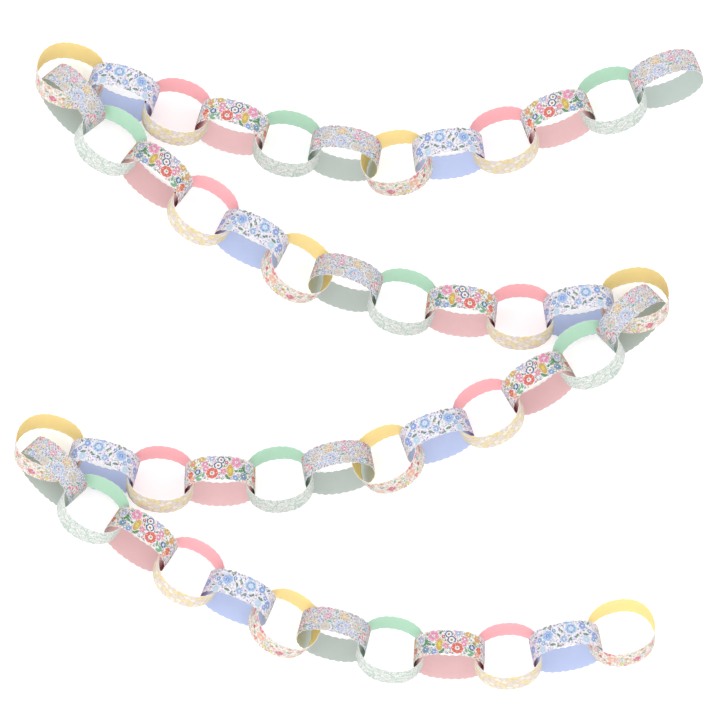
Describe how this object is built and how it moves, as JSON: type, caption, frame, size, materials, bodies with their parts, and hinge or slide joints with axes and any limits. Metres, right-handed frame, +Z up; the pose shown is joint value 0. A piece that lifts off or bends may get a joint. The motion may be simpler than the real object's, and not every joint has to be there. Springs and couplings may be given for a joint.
{
  "type": "paper chain garland",
  "caption": "Paper chain garland of interlinked scalloped card rings in flower prints, laid in zigzag swags.",
  "frame": {"origin": "on the table, under the middle of the garland as it lies", "axes": "+Z up from the table, +X along the length of the swags, +Y across the swags towards the first one"},
  "size_m": [0.6488, 0.6092, 0.0669],
  "materials": {
    "sage_paper": "matt card, white outside with a small all-over flower print, plain grey green inside",
    "mint_paper": "matt card, white outside with a pale green trellis, plain mint green inside",
    "rose_paper": "matt card, white outside with large mixed flowers, plain dusty pink inside",
    "coral_paper": "matt card, white outside with a yellow leaf lace, plain coral pink inside",
    "blue_paper": "matt card, white outside with blue flowers and dark leaves, plain periwinkle blue inside",
    "yellow_paper": "matt card, cream outside with small red tulips, plain yellow inside"
  },
  "bodies": {
    "root": {"link_01_sage": "sage_paper", "link_02_mint": "mint_paper", "link_03_rose": "rose_paper", "link_04_coral": "coral_paper", "link_05_blue": "blue_paper", "link_06_yellow": "yellow_paper", "link_07_sage": "sage_paper", "link_08_mint": "mint_paper", "link_09_rose": "rose_paper", "link_10_coral": "coral_paper", "link_11_blue": "blue_paper", "link_12_yellow": "yellow_paper", "link_13_sage": "sage_paper", "link_14_mint": "mint_paper", "link_15_rose": "rose_paper", "link_16_coral": "coral_paper", "link_17_blue": "blue_paper", "link_18_yellow": "yellow_paper", "link_19_sage": "sage_paper", "link_20_mint": "mint_paper", "link_21_rose": "rose_paper", "link_22_coral": "coral_paper", "link_23_blue": "blue_paper", "link_24_yellow": "yellow_paper", "link_25_sage": "sage_paper", "link_26_mint": "mint_paper", "link_27_rose": "rose_paper", "link_28_coral": "coral_paper", "link_29_blue": "blue_paper", "link_30_yellow": "yellow_paper", "link_31_sage": "sage_paper", "link_32_mint": "mint_paper", "link_33_rose": "rose_paper", "link_34_coral": "coral_paper", "link_35_blue": "blue_paper", "link_36_yellow": "yellow_paper", "link_37_sage": "sage_paper", "link_38_mint": "mint_paper", "link_39_rose": "rose_paper", "link_40_coral": "coral_paper", "link_41_blue": "blue_paper", "link_42_yellow": "yellow_paper", "link_43_sage": "sage_paper", "link_44_mint": "mint_paper", "link_45_rose": "rose_paper", "link_46_coral": "coral_paper", "link_47_blue": "blue_paper", "link_48_yellow": "yellow_paper"}
  },
  "joints": []
}
